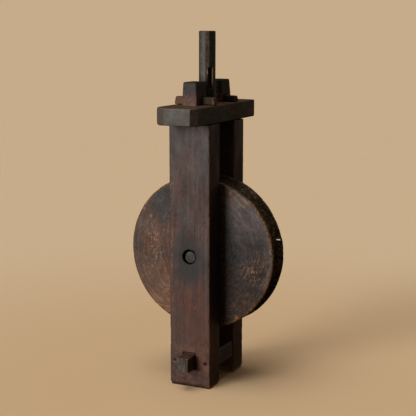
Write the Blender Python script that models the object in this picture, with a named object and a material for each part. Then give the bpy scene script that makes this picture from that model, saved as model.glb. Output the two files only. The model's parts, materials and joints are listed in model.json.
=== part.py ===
"""Single sheave block of an old hand-made kind.

Two upright cheeks stand on their feet with a wooden sheave between them. Their
top tenons pass through a head beam and are locked above it by cross keys. A bar
near the feet holds the cheeks apart. A round rod with a head swivels in the beam.

Metres, +Z up. The origin is under the middle of the block, on the surface that
the feet stand on. X lies in the plane of the sheave and Y runs along the axle,
with the front of the block towards -Y.
"""

import math

import bmesh
import bpy
from mathutils import Matrix, Vector

# ---------------------------------------------------------------- dimensions
GAP = 0.0003                    # air left between touching pieces
CORNER = 0.0016                 # worn corners of the squared timber
CORNER_STEPS = 2

# Cheeks
CHEEK_WIDTH = 0.064
CHEEK_THICKNESS = 0.0345
CHEEK_SPACE = 0.049             # clear space between the two cheeks
SHOULDER_HEIGHT = 0.3825        # where the cheeks meet the head beam
FOOT_SIDE_WEAR = 0.0018         # the feet's outer and side edges, worn a little
FOOT_INNER_CHAMFER = 0.0055     # their inner edges are cut back further
TENON_WIDTH = 0.0236
TENON_FACE_INSET = 0.0005       # the tenon's broad faces lie just inside the cheek's
TENON_TOP = 0.4405
TENON_SIDE_TAPER = 0.0011       # how far each side leans in above the beam
FRONT_TENON_TAPER = 0.0020      # how far the outer face leans in above the beam
REAR_TENON_TAPER = 0.0040
TENON_TOP_CHAMFER = 0.0008

# Head beam
BEAM_THICKNESS = 0.0255
BEAM_LENGTH = 0.206
BEAM_END_RISE = 0.0012          # cut at the ends' top and bottom edges
BEAM_FRONT_CUT = (0.0150, 0.0093, 0.0078)   # corners cut back: left, right, along Y
BEAM_REAR_CUT = (0.0050, 0.0050, 0.0048)

# Cross keys through the tenons
KEY_LENGTH = 0.062
KEY_DEPTH = 0.011
FRONT_KEY_HEIGHTS = (0.0112, 0.0106)        # at the left and right ends: a slight wedge
REAR_KEY_HEIGHTS = (0.0108, 0.0086)
KEY_INSET = 0.0165              # from the cheek's outer face to the key's outer face
KEY_END_SLOPE = 0.0018          # the battered ends lean in towards the top
KEY_END_DROP = 0.0080

# Bar between the feet
SPREADER_WIDTH = 0.0606
SPREADER_BOTTOM = 0.0257
SPREADER_TOP = 0.0513
SPREADER_TENON_SIDES = (-0.0104, 0.0082)       # it stands a little to the left
SPREADER_TENON_BOTTOM = 0.0275
SPREADER_TENON_TOP = 0.0506
SPREADER_TENON_PROUD = 0.023    # how far its tenons stand out of the cheeks
SPREADER_TENON_CHAMFER = 0.001

# Sheave
SHEAVE_RADIUS = 0.114
SHEAVE_THICKNESS = 0.040
SHEAVE_FORWARD = 0.0015         # it sits a little nearer the front cheek
SHEAVE_EDGE = 0.002             # worn outer edges of the flanges
GROOVE_WIDTH = 0.027
GROOVE_DEPTH = 0.0115
GROOVE_STEPS = 10

# Axle
AXLE_HEIGHT = 0.192
AXLE_RADIUS = 0.0088
AXLE_RECESS = 0.0025            # how far its ends lie inside the cheeks' faces
AXLE_CHAMFER = 0.001
AXLE_HOLE_RADIUS = 0.0104       # the holes in the cheeks have worn wide
AXLE_HOLE_SHIFT = (-0.0006, 0.0007)   # hole centre from the pin's, along X and Z

# Swivel rod
ROD_RADIUS = 0.01215
ROD_TOP = 0.5105
ROD_CHAMFER = 0.001
ROD_HOLE_RADIUS = 0.0126
ROD_HEAD_RADIUS = 0.018
ROD_HEAD_HEIGHT = 0.016
ROD_HEAD_CHAMFER = 0.002
SLOT_WIDTH = 0.0071
SLOT_BOTTOM = 0.4285
SLOT_TOP = 0.459
SLOT_AZIMUTH = math.radians(50.5)     # the way the slot faces, from -Y towards +X

# Nails through the cheeks into the spreader's shoulders
NAIL_OFFSET = 0.0243            # from the middle of the cheek, along X
NAIL_HEIGHT = 0.0375
NAIL_LENGTH = 0.052
NAIL_HEAD_HALF = 0.0016
NAIL_HEAD_DEPTH = 0.0012
NAIL_SHANK_HALF = 0.0011
NAIL_TIP_HALF = 0.0004
NAIL_RECESS = 0.0002

ROUND_STEPS = 48
SHEAVE_STEPS = 96

# Worked out from the dimensions above
CHEEK_INNER = CHEEK_SPACE / 2
CHEEK_OUTER = CHEEK_INNER + CHEEK_THICKNESS
BEAM_BOTTOM = SHOULDER_HEIGHT
BEAM_TOP = BEAM_BOTTOM + BEAM_THICKNESS
KEY_OUTER = CHEEK_OUTER - KEY_INSET
KEY_INNER = KEY_OUTER - KEY_DEPTH
KEY_BOTTOM = BEAM_TOP + GAP
NAIL_START = CHEEK_OUTER - NAIL_RECESS

WOOD_COLOURS = {
    "cheek_wood": (0.095, 0.062, 0.050),
    "beam_wood": (0.090, 0.078, 0.068),
    "key_wood": (0.105, 0.062, 0.040),
    "spreader_wood": (0.070, 0.052, 0.043),
    "sheave_wood": (0.105, 0.068, 0.052),
    "axle_wood": (0.062, 0.058, 0.050),
    "rod_wood": (0.058, 0.050, 0.042),
}


# ---------------------------------------------------------------- helpers
def clear_scene():
    for item in list(bpy.data.objects):
        bpy.data.objects.remove(item, do_unlink=True)


def make_material(name, colour, roughness, metallic=0.0):
    material = bpy.data.materials.new(name)
    material.use_nodes = True
    shader = material.node_tree.nodes["Principled BSDF"]
    shader.inputs["Base Color"].default_value = (*colour, 1.0)
    shader.inputs["Roughness"].default_value = roughness
    shader.inputs["Metallic"].default_value = metallic
    return material


def wood(name):
    return make_material(name, WOOD_COLOURS[name], 0.6)


def finish_mesh(name, mesh_data, material=None):
    """Turn a closed bmesh into an object with its faces pointing out."""
    bmesh.ops.recalc_face_normals(mesh_data, faces=mesh_data.faces)
    mesh = bpy.data.meshes.new(name)
    mesh_data.to_mesh(mesh)
    mesh_data.free()
    if material:
        mesh.materials.append(material)
    piece = bpy.data.objects.new(name, mesh)
    bpy.context.scene.collection.objects.link(piece)
    return piece


def smooth_round_faces(piece):
    piece.data.shade_smooth()
    piece.data.set_sharp_from_angle(angle=math.radians(35))


def loft(name, rings, material=None, closed=False):
    """Skin a row of rings with the same number of points, capping the two ends
    unless the row closes on itself."""
    mesh_data = bmesh.new()
    rows = [[mesh_data.verts.new(point) for point in ring] for ring in rings]
    pairs = list(zip(rows, rows[1:]))
    if closed:
        pairs.append((rows[-1], rows[0]))
    for first, second in pairs:
        count = len(first)
        for index in range(count):
            after = (index + 1) % count
            mesh_data.faces.new((first[index], first[after], second[after], second[index]))
    if not closed:
        mesh_data.faces.new(rows[0])
        mesh_data.faces.new(rows[-1])
    return finish_mesh(name, mesh_data, material)


def rounded_rectangle(low, high, corner):
    """Points of a rectangle with rounded corners, anticlockwise, in a plane."""
    centres = (
        (high[0] - corner, high[1] - corner),
        (low[0] + corner, high[1] - corner),
        (low[0] + corner, low[1] + corner),
        (high[0] - corner, low[1] + corner),
    )
    points = []
    for quarter, (centre_a, centre_b) in enumerate(centres):
        for step in range(CORNER_STEPS + 1):
            angle = math.pi / 2 * (quarter + step / CORNER_STEPS)
            points.append((centre_a + corner * math.cos(angle), centre_b + corner * math.sin(angle)))
    return points


def section(axis, place, low, high, corner=CORNER):
    """A rounded rectangle across one axis, as points in space. The plane's two
    coordinates are the other two axes, in X, Y, Z order."""
    ring = []
    for first, second in rounded_rectangle(low, high, corner):
        point = [first, second]
        point.insert(axis, place)
        ring.append(Vector(point))
    return ring


def circle_across_y(radius, place_y, centre_x, centre_z, steps):
    ring = []
    for step in range(steps):
        angle = 2 * math.pi * step / steps
        ring.append(Vector((centre_x + radius * math.cos(angle), place_y,
                            centre_z + radius * math.sin(angle))))
    return ring


def circle_across_z(radius, place_z, steps):
    ring = []
    for step in range(steps):
        angle = 2 * math.pi * step / steps
        ring.append(Vector((radius * math.cos(angle), radius * math.sin(angle), place_z)))
    return ring


def box(name, low, high):
    mesh_data = bmesh.new()
    bmesh.ops.create_cube(mesh_data, size=1.0)
    size = [top - bottom for bottom, top in zip(low, high)]
    middle = [(top + bottom) / 2 for bottom, top in zip(low, high)]
    bmesh.ops.scale(mesh_data, vec=size, verts=mesh_data.verts)
    bmesh.ops.translate(mesh_data, vec=middle, verts=mesh_data.verts)
    return finish_mesh(name, mesh_data)


def cut(piece, cutter):
    """Take a hidden cutter's shape out of a piece."""
    cutter.hide_render = True
    cutter.display_type = "WIRE"
    modifier = piece.modifiers.new("cut_" + cutter.name, "BOOLEAN")
    modifier.operation = "DIFFERENCE"
    modifier.object = cutter
    modifier.solver = "EXACT"


def place_origin(piece, point):
    """Move a piece's origin to a point without moving the piece."""
    piece.data.transform(Matrix.Translation(-Vector(point)))
    piece.location = point


# ---------------------------------------------------------------- pieces
def nail_sections(side, offset_x, grow):
    """Rings of a square nail driven in from a cheek's outer face."""
    stations = (
        (0.0, NAIL_HEAD_HALF),
        (NAIL_HEAD_DEPTH, NAIL_HEAD_HALF),
        (NAIL_HEAD_DEPTH, NAIL_SHANK_HALF),
        (NAIL_LENGTH, NAIL_TIP_HALF),
    )
    last = len(stations) - 1
    rings = []
    for index, (depth, half) in enumerate(stations):
        if grow and index == 0:
            depth -= NAIL_RECESS + grow
        elif grow and index:
            depth += grow
        reach = half + grow
        place = side * (NAIL_START - depth)
        low = (offset_x - reach, NAIL_HEIGHT - reach)
        high = (offset_x + reach, NAIL_HEIGHT + reach)
        corner = 0.3 * half if index == last else 0.2 * half
        rings.append(section(1, place, low, high, corner))
    return rings


def nail_places():
    for side, side_name in ((-1, "front"), (1, "rear")):
        for hand, hand_name in ((-1, "left"), (1, "right")):
            yield side, hand * NAIL_OFFSET, "nail_%s_%s" % (side_name, hand_name)


def build_nails():
    iron = make_material("nail_iron", (0.030, 0.022, 0.018), 0.7, 0.6)
    for side, offset_x, name in nail_places():
        loft(name, nail_sections(side, offset_x, 0.0), iron)


def cut_nail_holes(piece, sides):
    for side, offset_x, name in nail_places():
        if side in sides:
            cutter = loft("hole_%s_%s" % (piece.name, name), nail_sections(side, offset_x, GAP))
            cut(piece, cutter)


def cheek_section(side, height, half_width, outer, inner, corner=CORNER):
    low_y, high_y = sorted((side * outer, side * inner))
    return section(2, height, (-half_width, low_y), (half_width, high_y), corner)


def key_section(side, place, heights, grow):
    """Section of a cross key at one place along X. It gets thinner from left to
    right; grow widens it all round, for the hole that it passes through."""
    left, right = heights
    along = place / KEY_LENGTH + 0.5
    height = left + (right - left) * along
    low_y, high_y = sorted((side * (KEY_INNER - grow), side * (KEY_OUTER + grow)))
    return section(0, place, (low_y, KEY_BOTTOM - grow), (high_y, KEY_BOTTOM + height + grow),
                   CORNER / 2)


def build_cheek(name, side, taper, key_heights, material):
    half = CHEEK_WIDTH / 2
    tenon_half = TENON_WIDTH / 2
    tip_half = tenon_half - TENON_SIDE_TAPER
    outer = CHEEK_OUTER - TENON_FACE_INSET
    inner = CHEEK_INNER + TENON_FACE_INSET
    tip_outer = CHEEK_OUTER - taper
    worn = FOOT_SIDE_WEAR
    cut_back = FOOT_INNER_CHAMFER
    shoulder = SHOULDER_HEIGHT - GAP
    chamfer = TENON_TOP_CHAMFER
    rings = [
        cheek_section(side, 0.0, half - worn, CHEEK_OUTER - worn, CHEEK_INNER + cut_back),
        cheek_section(side, cut_back, half, CHEEK_OUTER, CHEEK_INNER),
        cheek_section(side, shoulder, half, CHEEK_OUTER, CHEEK_INNER),
        cheek_section(side, shoulder, tenon_half, outer, inner),
        cheek_section(side, BEAM_TOP, tenon_half, outer, inner),
        cheek_section(side, TENON_TOP - chamfer, tip_half, tip_outer, inner),
        cheek_section(side, TENON_TOP, tip_half - chamfer, tip_outer - chamfer, inner + chamfer),
    ]
    cheek = loft(name, rings, material)

    beyond = 0.005
    near_y, far_y = sorted((side * (CHEEK_INNER - beyond), side * (CHEEK_OUTER + beyond)))
    axle_hole = loft("axle_hole_" + name, [
        circle_across_y(AXLE_HOLE_RADIUS, place, AXLE_HOLE_SHIFT[0],
                        AXLE_HEIGHT + AXLE_HOLE_SHIFT[1], ROUND_STEPS)
        for place in (near_y, far_y)])
    cut(cheek, axle_hole)

    tenon_left, tenon_right = SPREADER_TENON_SIDES
    cut(cheek, box("spreader_mortise_" + name,
                   (tenon_left - GAP, near_y, SPREADER_TENON_BOTTOM - GAP),
                   (tenon_right + GAP, far_y, SPREADER_TENON_TOP + GAP)))

    cut(cheek, loft("key_mortise_" + name, [
        key_section(side, place, key_heights, GAP) for place in (-half, half)]))
    cut_nail_holes(cheek, (side,))
    return cheek


def build_head_beam():
    half_width = CHEEK_WIDTH / 2
    half_length = BEAM_LENGTH / 2
    rings = []
    for end, (left, right, depth) in ((-1, BEAM_FRONT_CUT), (1, BEAM_REAR_CUT)):
        tip = section(1, end * half_length, (-half_width + left, BEAM_BOTTOM + BEAM_END_RISE),
                      (half_width - right, BEAM_TOP - BEAM_END_RISE))
        full = section(1, end * (half_length - depth), (-half_width, BEAM_BOTTOM),
                       (half_width, BEAM_TOP))
        rings.extend((tip, full) if end < 0 else (full, tip))
    beam = loft("head_beam", rings, wood("beam_wood"))

    beyond = 0.005
    mortise_half = TENON_WIDTH / 2 + GAP
    for side, side_name in ((-1, "front"), (1, "rear")):
        low_y, high_y = sorted((side * (CHEEK_INNER - GAP), side * (CHEEK_OUTER + GAP)))
        cut(beam, box("tenon_mortise_" + side_name,
                      (-mortise_half, low_y, BEAM_BOTTOM - beyond),
                      (mortise_half, high_y, BEAM_TOP + beyond)))
    cut(beam, loft("rod_hole", [
        circle_across_z(ROD_HOLE_RADIUS, place, ROUND_STEPS)
        for place in (BEAM_BOTTOM - beyond, BEAM_TOP + beyond)]))
    return beam


def build_key(name, side, heights, material):
    """A wedge whose ends are battered: lower at the very tip."""
    half = KEY_LENGTH / 2
    tip_heights = [height - KEY_END_DROP for height in heights]
    rings = [
        key_section(side, -half, tip_heights, 0.0),
        key_section(side, -half + KEY_END_SLOPE, heights, 0.0),
        key_section(side, half - KEY_END_SLOPE, heights, 0.0),
        key_section(side, half, tip_heights, 0.0),
    ]
    return loft(name, rings, material)


def build_foot_spreader():
    body_half = SPREADER_WIDTH / 2
    tenon_left, tenon_right = SPREADER_TENON_SIDES
    shoulder = CHEEK_INNER - GAP
    tip = CHEEK_OUTER + SPREADER_TENON_PROUD
    chamfer = SPREADER_TENON_CHAMFER

    def tenon_ring(place, shrink):
        return section(1, place, (tenon_left + shrink, SPREADER_TENON_BOTTOM + shrink),
                       (tenon_right - shrink, SPREADER_TENON_TOP - shrink), CORNER / 2)

    def body_ring(place):
        return section(1, place, (-body_half, SPREADER_BOTTOM), (body_half, SPREADER_TOP), CORNER)

    spreader = loft("foot_spreader", [
        tenon_ring(-tip, chamfer),
        tenon_ring(-tip + chamfer, 0.0),
        tenon_ring(-shoulder, 0.0),
        body_ring(-shoulder),
        body_ring(shoulder),
        tenon_ring(shoulder, 0.0),
        tenon_ring(tip - chamfer, 0.0),
        tenon_ring(tip, chamfer),
    ], wood("spreader_wood"))
    cut_nail_holes(spreader, (-1, 1))
    return spreader


def groove_profile():
    """Points (place along the axle, radius) across the rope groove. Its bottom
    is one arc through both lips."""
    half = GROOVE_WIDTH / 2
    arc_radius = (half ** 2 + GROOVE_DEPTH ** 2) / (2 * GROOVE_DEPTH)
    centre_radius = SHEAVE_RADIUS - GROOVE_DEPTH + arc_radius
    spread = math.asin(half / arc_radius)
    points = []
    for step in range(GROOVE_STEPS + 1):
        angle = spread * (2 * step / GROOVE_STEPS - 1)
        points.append((arc_radius * math.sin(angle), centre_radius - arc_radius * math.cos(angle)))
    return points


def build_sheave():
    half = SHEAVE_THICKNESS / 2
    bore = AXLE_RADIUS + GAP
    profile = [
        (-half, bore),
        (-half, SHEAVE_RADIUS - SHEAVE_EDGE),
        (-half + SHEAVE_EDGE, SHEAVE_RADIUS),
        *groove_profile(),
        (half - SHEAVE_EDGE, SHEAVE_RADIUS),
        (half, SHEAVE_RADIUS - SHEAVE_EDGE),
        (half, bore),
    ]
    rings = [circle_across_y(radius, place - SHEAVE_FORWARD, 0.0, AXLE_HEIGHT, SHEAVE_STEPS)
             for place, radius in profile]
    sheave = loft("sheave", rings, wood("sheave_wood"), closed=True)
    place_origin(sheave, (0.0, 0.0, AXLE_HEIGHT))
    smooth_round_faces(sheave)
    return sheave


def build_axle_pin():
    tip = CHEEK_OUTER - AXLE_RECESS
    rings = [
        circle_across_y(AXLE_RADIUS - shrink, place, 0.0, AXLE_HEIGHT, ROUND_STEPS)
        for place, shrink in ((-tip, AXLE_CHAMFER), (-tip + AXLE_CHAMFER, 0.0),
                              (tip - AXLE_CHAMFER, 0.0), (tip, AXLE_CHAMFER))]
    pin = loft("axle_pin", rings, wood("axle_wood"))
    place_origin(pin, (0.0, 0.0, AXLE_HEIGHT))
    smooth_round_faces(pin)
    return pin


def build_swivel_rod():
    head_top = BEAM_BOTTOM - GAP
    head_bottom = head_top - ROD_HEAD_HEIGHT
    rings = [circle_across_z(radius, place, ROUND_STEPS) for radius, place in (
        (ROD_HEAD_RADIUS - ROD_HEAD_CHAMFER, head_bottom),
        (ROD_HEAD_RADIUS, head_bottom + ROD_HEAD_CHAMFER),
        (ROD_HEAD_RADIUS, head_top),
        (ROD_RADIUS, head_top),
        (ROD_RADIUS, ROD_TOP - ROD_CHAMFER),
        (ROD_RADIUS - ROD_CHAMFER, ROD_TOP),
    )]
    rod = loft("swivel_rod", rings, wood("rod_wood"))
    smooth_round_faces(rod)

    slot = box("rod_slot", (-SLOT_WIDTH / 2, -2 * ROD_RADIUS, SLOT_BOTTOM),
               (SLOT_WIDTH / 2, 2 * ROD_RADIUS, SLOT_TOP))
    slot.data.transform(Matrix.Rotation(SLOT_AZIMUTH, 4, "Z"))
    cut(rod, slot)
    return rod


def main():
    clear_scene()
    cheek_wood = wood("cheek_wood")
    build_cheek("front_cheek", -1, FRONT_TENON_TAPER, FRONT_KEY_HEIGHTS, cheek_wood)
    build_cheek("rear_cheek", 1, REAR_TENON_TAPER, REAR_KEY_HEIGHTS, cheek_wood)
    build_head_beam()
    key_wood = wood("key_wood")
    build_key("front_key", -1, FRONT_KEY_HEIGHTS, key_wood)
    build_key("rear_key", 1, REAR_KEY_HEIGHTS, key_wood)
    build_foot_spreader()
    build_sheave()
    build_axle_pin()
    build_swivel_rod()
    build_nails()


main()
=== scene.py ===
"""Looks of the old wooden single sheave block: worn dark timber, an end-grain
sheave, a pale floor and soft light from the front left. Everything is in metres
in the frame's own axes: +Z up, Y along the axle with the front towards -Y."""

import json
import math

import bmesh
import bpy
import numpy as np
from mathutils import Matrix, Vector, noise


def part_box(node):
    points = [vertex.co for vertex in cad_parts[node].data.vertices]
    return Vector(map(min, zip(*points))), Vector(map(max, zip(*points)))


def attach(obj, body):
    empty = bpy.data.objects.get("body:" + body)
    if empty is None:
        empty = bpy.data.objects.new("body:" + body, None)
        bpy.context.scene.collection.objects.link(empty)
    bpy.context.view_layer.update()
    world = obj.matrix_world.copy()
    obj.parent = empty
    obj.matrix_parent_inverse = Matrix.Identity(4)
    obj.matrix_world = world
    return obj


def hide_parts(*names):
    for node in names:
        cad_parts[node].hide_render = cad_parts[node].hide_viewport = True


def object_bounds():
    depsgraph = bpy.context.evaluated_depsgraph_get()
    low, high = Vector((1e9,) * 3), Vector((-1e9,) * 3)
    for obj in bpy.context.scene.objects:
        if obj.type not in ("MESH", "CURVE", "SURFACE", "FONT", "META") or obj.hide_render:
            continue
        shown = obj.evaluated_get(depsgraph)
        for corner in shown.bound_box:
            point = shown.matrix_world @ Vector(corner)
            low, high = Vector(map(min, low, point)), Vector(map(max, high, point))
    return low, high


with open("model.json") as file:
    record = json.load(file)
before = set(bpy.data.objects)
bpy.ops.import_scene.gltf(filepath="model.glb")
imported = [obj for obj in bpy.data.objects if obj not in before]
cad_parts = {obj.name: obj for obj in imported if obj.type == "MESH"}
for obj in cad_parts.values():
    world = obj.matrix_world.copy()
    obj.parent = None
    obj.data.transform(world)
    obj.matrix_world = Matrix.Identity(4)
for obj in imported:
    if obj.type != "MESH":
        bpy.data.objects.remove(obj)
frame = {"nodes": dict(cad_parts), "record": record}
CAD_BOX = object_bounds()
MM = 0.001

# ---- places from the frame
BOX = {name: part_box(name) for name in frame["nodes"]}
HINGE = {joint["name"]: joint for joint in frame["record"]["behaviour"]["joints"]}
AXLE = Vector(HINGE["sheave_spin"]["pos_m"])
BLOCK_HEIGHT = CAD_BOX[1].z
CHEEK_LOW, CHEEK_HIGH = BOX["front_cheek"]
BEAM_LOW, BEAM_HIGH = BOX["head_beam"]
KEY_TIP = BOX["front_key"][1].x
SPREADER_END = BOX["foot_spreader"][1].y
SHEAVE_LOW, SHEAVE_HIGH = BOX["sheave"]
SHEAVE_RADIUS = SHEAVE_HIGH.x
SHEAVE_MIDDLE = (SHEAVE_LOW.y + SHEAVE_HIGH.y) / 2

# sizes inside a piece, which its box doesn't give
PEG_LEFT, PEG_RIGHT = -10.4 * MM, 8.2 * MM      # the spreader's pegs, proud of the cheeks
PEG_BOTTOM, PEG_TOP = 27.5 * MM, 50.6 * MM
ROD_RADIUS = 12.15 * MM
SLOT_AZIMUTH = math.radians(50.5)               # the way it faces, from -Y towards +X
SLOT_HALF = 3.55 * MM                           # half of its width
SLOT_BOTTOM, SLOT_TOP = 428.5 * MM, 459.0 * MM


# ---- mesh tools
EDGE_ROUNDS = 8                             # how far convexity looks, in steps of the net
SEED_STEP = np.array([17.3, 5.1, 9.7])      # how far apart the noises of two seeds lie


def put(name, data):
    """A new object in the scene."""
    thing = bpy.data.objects.new(name, data)
    bpy.context.scene.collection.objects.link(thing)
    return thing


def mesh_of(name, mesh_data):
    """An ordinary mesh from one made with bmesh."""
    mesh = bpy.data.meshes.new(name)
    mesh_data.to_mesh(mesh)
    mesh_data.free()
    return mesh


def add_object(name, mesh, material, body, *nodes):
    """A visible piece that rides on a body and stands for CAD nodes."""
    piece = put(name, mesh)
    mesh.materials.clear()
    mesh.materials.append(material)
    mesh.polygons.foreach_set("use_smooth", [True] * len(mesh.polygons))
    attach(piece, body)
    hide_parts(*nodes)
    return piece


def applied(mesh, kind, **settings):
    """The mesh with one modifier applied."""
    source = put("source", mesh)
    modifier = source.modifiers.new("shape", kind)
    for key, value in settings.items():
        setattr(modifier, key, value)
    graph = bpy.context.evaluated_depsgraph_get()
    result = bpy.data.meshes.new_from_object(source.evaluated_get(graph))
    bpy.data.objects.remove(source)
    return result


def dense_copy(node, voxel):
    """The CAD node's shape as an even net of small quads."""
    source = frame["nodes"][node].data.copy()
    mesh = applied(source, "REMESH", mode="VOXEL", voxel_size=voxel)
    mesh.name = node + "_net"
    return mesh


def rows_of(items, name, width, kind=float):
    """One property of all the items, a row for each."""
    flat = np.empty(len(items) * width, dtype=kind)
    items.foreach_get(name, flat)
    return flat.reshape(-1, width)


def points_of(mesh):
    return rows_of(mesh.vertices, "co", 3)


def normals_of(mesh):
    return rows_of(mesh.vertices, "normal", 3)


def edges_of(mesh):
    return rows_of(mesh.edges, "vertices", 2, np.int32)


def set_points(mesh, points):
    mesh.vertices.foreach_set("co", points.ravel())
    mesh.update()


def set_mark(mesh, name, values):
    """A number on each point that a material can read."""
    mark = mesh.attributes.new(name, "FLOAT", "POINT")
    mark.data.foreach_set("value", np.asarray(values, dtype=np.float32))


def soften(points, edges, weight, rounds):
    """Rub the surface down towards its neighbours' average, by weight."""
    count = len(points)
    first, second = edges.T
    degree = np.bincount(first, minlength=count) + np.bincount(second, minlength=count)
    degree = np.maximum(degree, 1)[:, None]
    step = 0.5 * np.broadcast_to(weight, count)[:, None]
    for _ in range(rounds):
        total = np.empty_like(points)
        for axis in range(3):
            total[:, axis] = (np.bincount(first, points[second, axis], minlength=count)
                              + np.bincount(second, points[first, axis], minlength=count))
        points = points + step * (total / degree - points)
    return points


def wander(points, scale, seed, octaves=3):
    """Smooth noise from about -1 to 1 at each point, of one size or of one per axis."""
    scaled = points / np.asarray(scale) + SEED_STEP * seed
    return np.array([noise.fractal(p, 1.0, 2.0, octaves) for p in scaled])


def smoothstep(low, high, value):
    """From 0 at low to 1 at high, smoothly; low may be the higher of the two."""
    t = np.clip((value - low) / (high - low), 0.0, 1.0)
    return t * t * (3 - 2 * t)


def convexity(points, edges, out, voxel):
    """How far each point stands out of its surroundings, in steps of the net."""
    rubbed = soften(points, edges, 1.0, EDGE_ROUNDS)
    return np.einsum("ij,ij->i", points - rubbed, out) / voxel


# ---- material tools
MIX_AMOUNT, MIX_FIRST, MIX_SECOND, MIX_RESULT = 0, 6, 7, 2   # a colour Mix node's sockets


def half_way(first, second):
    """The colour half way between two."""
    return tuple((a + b) / 2 for a, b in zip(first, second))


class Graph:
    """A short way to write a material's nodes, with the colour built up so far."""

    def __init__(self, name):
        self.material = bpy.data.materials.new(name)
        self.material.use_nodes = True
        self.tree = self.material.node_tree
        self.shader = self.tree.nodes["Principled BSDF"]
        self.place = self.add("TexCoord").outputs["Object"]
        self.x, self.y, self.z = self.add("SeparateXYZ", self.place).outputs
        self.colour = None

    def plug(self, socket, value):
        if isinstance(value, bpy.types.NodeSocket):
            self.tree.links.new(value, socket)
        elif value is not None:
            if socket.type == "RGBA" and len(value) == 3:
                value = (*value, 1.0)
            socket.default_value = value

    def add(self, kind, *inputs, **settings):
        node = self.tree.nodes.new("ShaderNode" + kind)
        for key, value in settings.items():
            setattr(node, key, value)
        for socket, value in zip(node.inputs, inputs):
            self.plug(socket, value)
        return node

    def plug_all(self, node, **values):
        """Plug values into a node's sockets by name."""
        for name, value in values.items():
            self.plug(node.inputs[name], value)
        return node.outputs[0]

    def mark(self, name):
        return self.add("Attribute", attribute_name=name).outputs["Fac"]

    def join(self, x, y, z):
        return self.add("CombineXYZ", x, y, z).outputs[0]

    def stretch(self, scale, shift=(0.0, 0.0, 0.0)):
        """The object's coordinates, scaled and shifted along each axis."""
        return self.plug_all(self.add("Mapping", self.place), Location=shift, Scale=scale)

    def noise(self, scale=1.0, detail=3, rough=0.55, distort=0.0, place=None):
        """Noise over the object, of one scale or of one for each axis, or over another place."""
        if isinstance(scale, tuple):
            place, scale = self.stretch(scale), 1.0
        return self.plug_all(self.add("TexNoise"), Vector=place or self.place, Scale=scale,
                             Detail=detail, Roughness=rough, Distortion=distort)

    def length(self, vector):
        return self.add("VectorMath", vector, operation="LENGTH").outputs["Value"]

    def math(self, operation, first, second=None):
        return self.add("Math", first, second, operation=operation).outputs[0]

    def fade(self, value, low, high, to_low=0.0, to_high=1.0):
        """Map low..high smoothly to to_low..to_high; low may be the higher of the two."""
        node = self.add("MapRange", value, low, high, to_low, to_high)
        node.interpolation_type = "SMOOTHSTEP"
        return node.outputs[0]

    def chain(self, operation, values):
        result = values[0]
        for value in values[1:]:
            result = self.math(operation, result, value)
        return result

    def times(self, *values):
        return self.chain("MULTIPLY", values)

    def plus(self, *values):
        return self.chain("ADD", values)

    def minus(self, *values):
        return self.chain("SUBTRACT", values)

    def from_half(self, value):
        """How far a noise is from its middle: near 0 along thin winding lines."""
        return self.math("ABSOLUTE", self.minus(value, 0.5))

    def wobble(self, value, scale, amount):
        """Make a value's contours ragged with noise of a scale."""
        ragged = self.noise(scale, detail=4, rough=0.65)
        return self.plus(value, self.times(self.minus(ragged, 0.5), 2 * amount))

    def mix(self, amount, first, second, blend="MIX"):
        node = self.add("Mix", data_type="RGBA", blend_type=blend)
        self.plug(node.inputs[MIX_AMOUNT], amount)
        self.plug(node.inputs[MIX_FIRST], first)
        self.plug(node.inputs[MIX_SECOND], second)
        return node.outputs[MIX_RESULT]

    def shade(self, colour, factor):
        """Lighten or darken a colour by a factor."""
        return self.mix(1.0, colour, self.join(factor, factor, factor), "MULTIPLY")

    def lay(self, colour, *amounts):
        """Lay a colour over what is there, by the product of the amounts."""
        self.colour = self.mix(self.times(*amounts), self.colour, colour)

    def tone(self, factor):
        """Lighten or darken what is there by a factor."""
        self.colour = self.shade(self.colour, factor)

    def vary(self, value, amount, low, high, darker, lighter):
        """Lighten and darken what is there as a value goes from low to high, by amount."""
        change = self.times(self.fade(value, low, high, darker, lighter), amount)
        self.tone(self.plus(change, 1.0))

    def spot(self, centre, radii, ragged=0.25, core=0.5, scale=55.0):
        """A soft ragged patch across the XZ plane: 1 inside, 0 outside."""
        size = (1 / radii[0], 0.0, 1 / radii[1])
        shift = (-centre[0] / radii[0], 0.0, -centre[1] / radii[1])
        reach = self.length(self.stretch(size, shift))
        return self.fade(self.wobble(reach, scale, ragged), 1.2, core)

    def stroke(self, centre, slope, length, width):
        """A thin straight mark across the XZ plane, at an angle from +X."""
        along = (math.cos(slope), 0.0, math.sin(slope))
        across = (-math.sin(slope), 0.0, math.cos(slope))
        offset = self.add("VectorMath", self.place, (centre[0], 0.0, centre[1]),
                          operation="SUBTRACT").outputs["Vector"]
        parts = []
        for axis, size in ((along, length / 2), (across, width / 2)):
            dot = self.add("VectorMath", offset, axis, operation="DOT_PRODUCT")
            scaled = self.math("DIVIDE", dot.outputs["Value"], size)
            parts.append(self.times(scaled, scaled))
        reach = self.plus(*parts)
        return self.fade(self.wobble(reach, 700.0, 0.4), 1.2, 0.3)

    def bump(self, height, strength, depth):
        bumped = self.plug_all(self.add("Bump"), Strength=strength, Distance=depth, Height=height)
        self.plug(self.shader.inputs["Normal"], bumped)

    def finish(self, colour, roughness, specular=0.25):
        self.plug_all(self.shader, **{"Base Color": colour, "Roughness": roughness,
                                      "Specular IOR Level": specular})
        return self.material


# ---- timber
GRAIN_X, GRAIN_Y, GRAIN_Z = 0, 1, 2
ORANGE_WEAR = (0.200, 0.075, 0.026)
# black for cracks, specks and dirt, and also for painted shade in hollows, the rod's slot, the
# tenons' tops and the foot
BLACK_DIRT_AND_SHADE = (0.008, 0.006, 0.005)


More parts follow.
